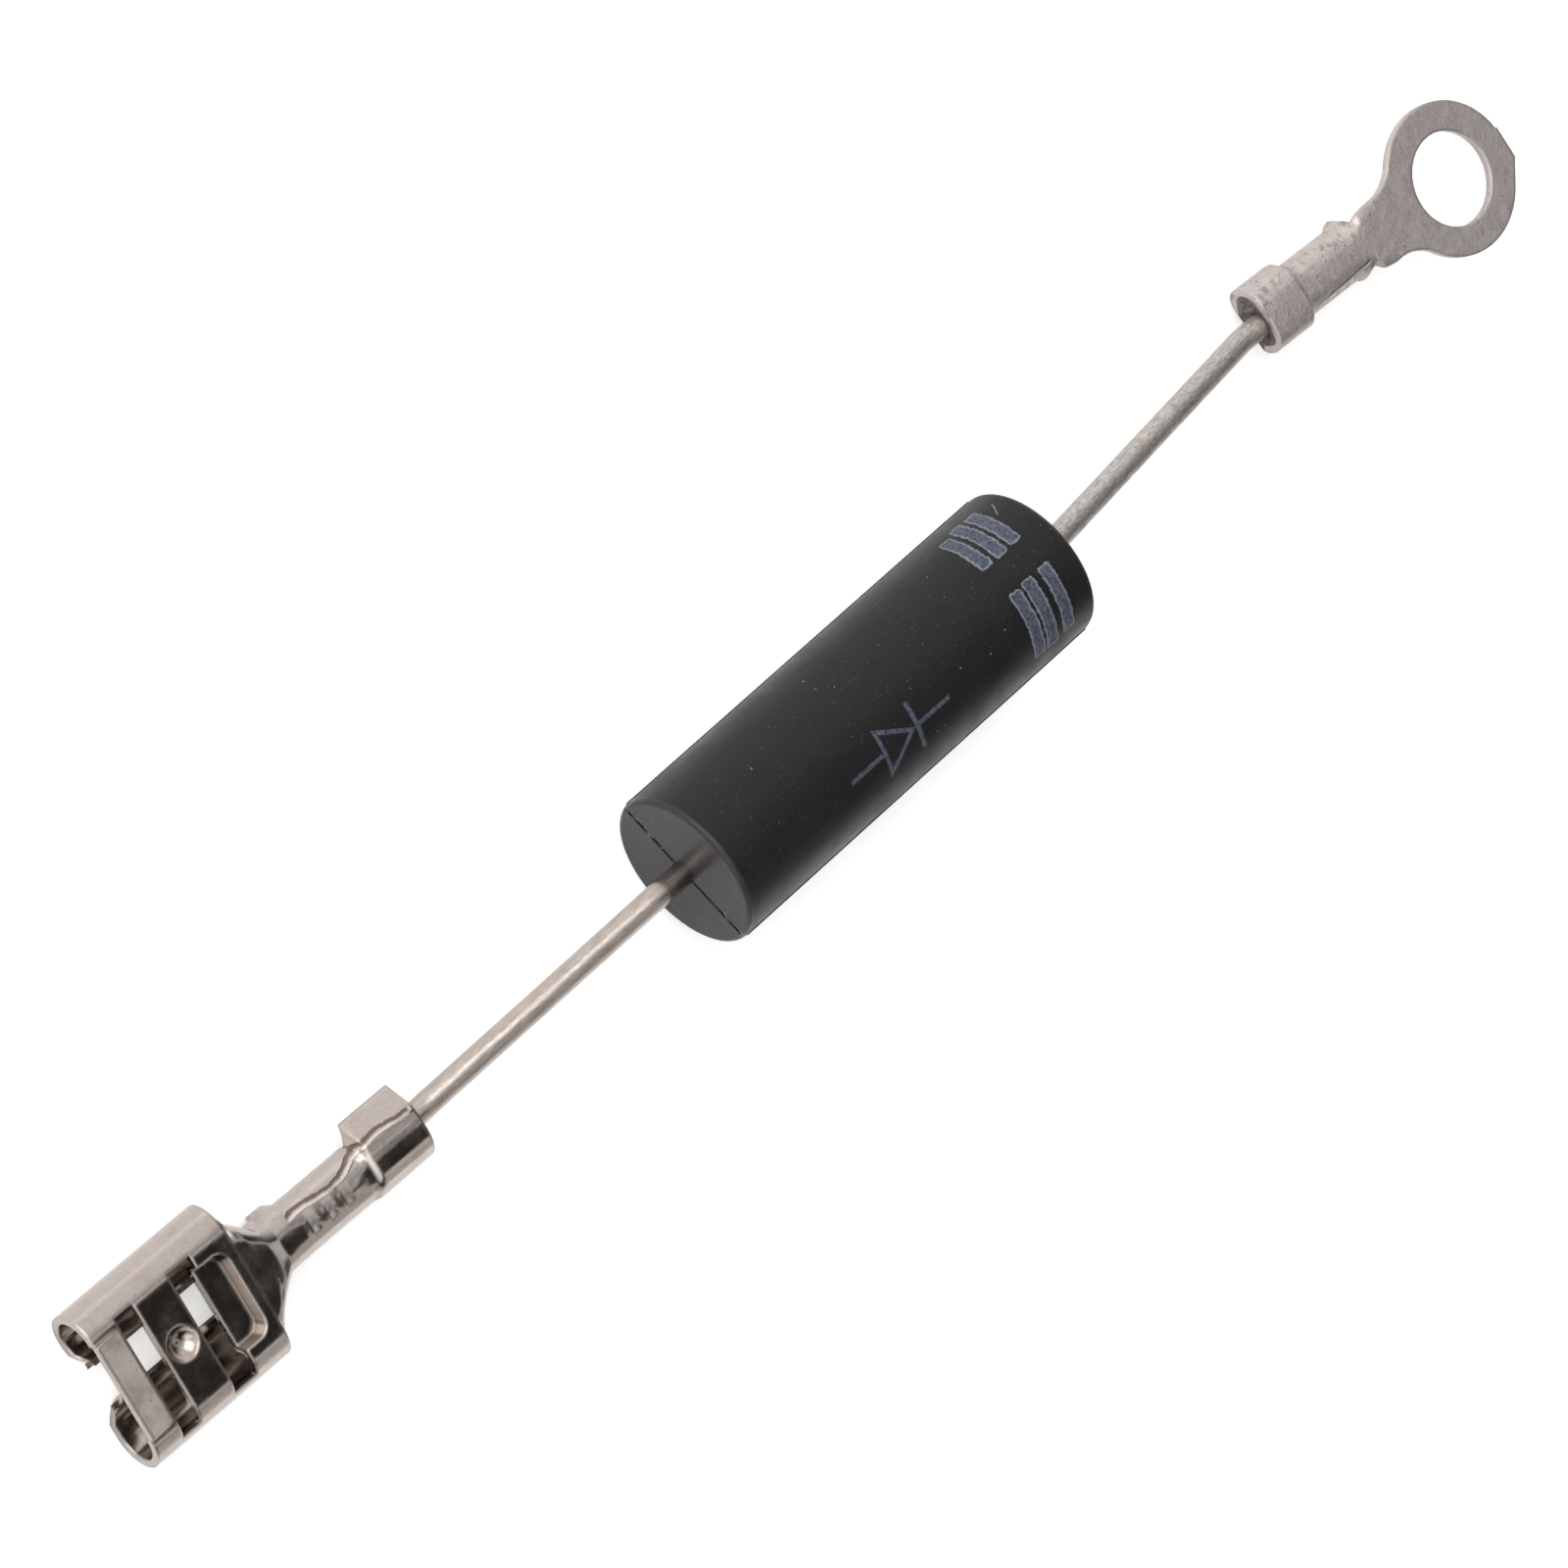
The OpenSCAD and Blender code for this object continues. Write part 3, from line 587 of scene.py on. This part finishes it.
def plated(name, low, high, rough, mottle_scale, grain_scale, stretch=(1, 1, 1),
           bump=0.01 * MM, stain=(0.3, 0.24, 0.2), stain_amount=0.2, pits=0.0, metal=1.0,
           crevice_shade_amount=0.75, dented=6.0, creases=(), tilt=0.0, sway=0.0, rubbed_to=None):
    """Tinned or plated sheet and wire.

    creases are folds in the sheet: start, end, place across and half width in mm. They follow
    tilt, a slope across the part, and sway, half the height of a wave along it. The metal is
    rubbed in patches up to rubbed_to, along the part in mm.
    """
    mat, g, shader = material(name)
    vec = g.place(BODY)
    x, y, _ = g.parts(vec)
    mottle = g.noise(vec, mottle_scale, *MOTTLE_NOISE)
    grain = g.noise(g.scaled(vec, *stretch), grain_scale, *GRAIN_NOISE)
    color = g.mix(g.step(grain, *METAL_GRAIN_EDGE), low, high)
    color = g.mix(g.mul(g.step(mottle, *STAIN_EDGE), stain_amount), color, stain)
    clusters = g.step(g.noise(vec, *PIT_CLUSTER_NOISE), *PIT_CLUSTER_EDGE)
    spot = g.mul(g.fall(g.cells(vec, PIT_SCALE), *PIT_EDGE), clusters)
    color = g.mix(g.mul(spot, pits), color, PIT_COLOR)

    relief = []
    if rubbed_to is not None:
        patches = g.noise(g.scaled(vec, *RUB_STRETCH), *RUB_NOISE)
        before = g.fall(x, rubbed_to - RUB_FADE, rubbed_to)
        rubbed = g.mul(before, g.step(patches, *RUB_EDGE))
        relief.append((rubbed, RUB_DEPTH))
    if creases:
        wander = g.mul(g.sway(vec, *FOLD_NOISE), FOLD_WANDER)
        across = g.plus(y, g.plus(g.mul(x, -tilt), wander))
        if sway:
            turn = g.mul(g.sub(x, CREST_X), math.tau / WAVE_LENGTH)
            across = g.sub(across, g.mul(g.math("COSINE", turn), sway))
        fold = ridge_and_highlight = 0.0
        for start, end, at, half in creases:
            fold = g.most(fold, stripe(g, x, across, start, end, at, half))
            beside = at - HIGHLIGHT_BESIDE * half
            ridge_and_highlight = g.most(ridge_and_highlight, stripe(g, x, across, start, end, beside, half))
        # painted shade along the fold's groove, and a painted highlight along the ridge beside it
        color = g.mix(g.mul(fold, FOLD_SHADE_STRENGTH), color, FOLD_SHADE_COLOR)
        color = g.mix(g.mul(ridge_and_highlight, PAINTED_HIGHLIGHT_STRENGTH), color, PAINTED_HIGHLIGHT_COLOR)
        relief.append((g.sub(ridge_and_highlight, fold), FOLD_DEPTH))
    if rubbed_to is not None:
        color = g.mix(g.mul(rubbed, RUB_STRENGTH), color, RUB_COLOR)

    # painted shade: the ambient occlusion darkens crevices towards a brown shade colour
    shade = g.add("ShaderNodeAmbientOcclusion", samples=SHADING_SAMPLES)
    g.fill(shade, Distance=CREVICE_REACH)
    crevice_shade_mask = g.step(shade.outputs["AO"], *CREVICE_SHADE_EDGE, crevice_shade_amount, 0.0)
    color = g.mix(crevice_shade_mask, color, CREVICE_SHADE_COLOR)
    grainy = g.mul(g.sub(grain, NOISE_MIDDLE), ROUGH_OF_METAL_GRAIN)
    roughness = g.plus(g.step(mottle, *METAL_ROUGH_EDGE, *rough), grainy)

    edges = g.add("ShaderNodeBevel", samples=SHADING_SAMPLES)
    g.fill(edges, Radius=EDGE_RADIUS)
    normal = g.bump(grain, bump, METAL_GRAIN_STRENGTH, edges.outputs[0])
    dents = g.noise(vec, mottle_scale * DENT_SCALE, DENT_DETAIL)
    normal = g.bump(dents, bump * dented, DENT_STRENGTH, normal)
    normal = g.bump(g.mul(spot, -pits), *PIT_BUMP, normal)
    for height, depth in relief:
        normal = g.bump(height, depth, RELIEF_STRENGTH, normal)
    g.fill(shader, Base_Color=color, Metallic=metal, Roughness=roughness, Normal=normal)
    return mat


# The sealed inner pieces: detail of their mottle and bumps, and the mottle's edge
PLAIN_DETAIL = 4
PLAIN_BUMP_DETAIL = 3
PLAIN_EDGE = (0.2, 0.8)


def plain(name, scale, low, high, rough, bump_scale, bump, strength, **constants):
    """A sealed inner piece: one soft mottle, fine bumps, and constants for the shader."""
    mat, g, shader = material(name)
    vec = g.place(BODY)
    mottle = g.noise(vec, scale, PLAIN_DETAIL)
    normal = g.bump(g.noise(vec, bump_scale, PLAIN_BUMP_DETAIL), bump, strength)
    g.fill(shader, Base_Color=g.mix(mottle, low, high),
           Roughness=g.step(mottle, *PLAIN_EDGE, *rough), Normal=normal, **constants)
    return mat


def assign(mat, *names):
    for name in names:
        data = nodes[name].data
        data.materials.clear()
        data.materials.append(mat)


def starting(prefix):
    return [name for name in nodes if name.startswith(prefix)]


assign(epoxy(), "epoxy_body")
assign(plain("silicone_coating", 1.6, (0.62, 0.6, 0.55), (0.75, 0.74, 0.7), (0.5, 0.7),
             8.0, 0.03 * MM, 0.5, Subsurface_Weight=0.1), "junction_coating")
assign(plain("silicon", 3.0, (0.06, 0.065, 0.08), (0.13, 0.14, 0.16), (0.15, 0.35),
             20.0, 0.01 * MM, 0.4, Metallic=0.6), *starting("silicon_die"))
assign(plated("solder", (0.42, 0.42, 0.44), (0.6, 0.6, 0.62), (0.35, 0.55), 1.5, 6.0),
       *starting("solder"))
assign(plated("anode_lead_tin", (0.37, 0.325, 0.295), (0.5, 0.45, 0.415), (0.17, 0.28), 1.1, 2.4,
              stretch=(0.35, 2.5, 2.5), bump=0.006 * MM, stain=(0.38, 0.29, 0.235),
              stain_amount=0.25, crevice_shade_amount=0.5), "anode_lead")
assign(plated("cathode_lead_tin", (0.3, 0.272, 0.255), (0.62, 0.58, 0.555), (0.33, 0.48), 1.3, 9.0,
              stretch=(0.4, 1.2, 1.2), bump=0.04 * MM, stain=(0.28, 0.235, 0.21),
              stain_amount=0.45, pits=0.4, metal=0.9, crevice_shade_amount=0.5, dented=1.5), "cathode_lead")
assign(plated("ring_plating", (0.45, 0.405, 0.39), (0.58, 0.53, 0.515), (0.36, 0.52), 1.5, 9.0,
              bump=0.02 * MM, stain=(0.34, 0.29, 0.265), stain_amount=0.3, pits=0.7, metal=0.85,
              crevice_shade_amount=1.0, creases=((31.9, 34.9, -0.5, 0.07),), rubbed_to=35.6), "ring_terminal")
assign(plated("receptacle_plating", (0.42, 0.375, 0.345), (0.475, 0.43, 0.405), (0.1, 0.2), 0.8,
              7.0, stretch=(0.6, 1, 1), bump=0.003 * MM, stain=(0.34, 0.24, 0.175),
              stain_amount=0.4, pits=0.1, creases=((-33.9, -26.6, 1.86, 0.08),), tilt=0.066,
              sway=0.18), "tab_receptacle")

scene = bpy.context.scene
scene.view_settings.view_transform = "Standard"
add_camera()
add_world()
add_floor()
add_area("key", (-0.55, 0.75, 0.9), distance=0.6, size=0.6, power=2.3,
         color=(1.0, 0.985, 0.965))
add_area("fill", (-0.9, -0.35, 0.7), distance=0.7, size=0.45, power=0.7)
# a small soft panel beside the receptacle, for the highlight along its rolled side
add_area("side_panel", (0.37, -0.88, 0.3), distance=0.06, size=0.05, power=0.005,
         color=(1.0, 0.96, 0.93), around=centre("tab_receptacle"))
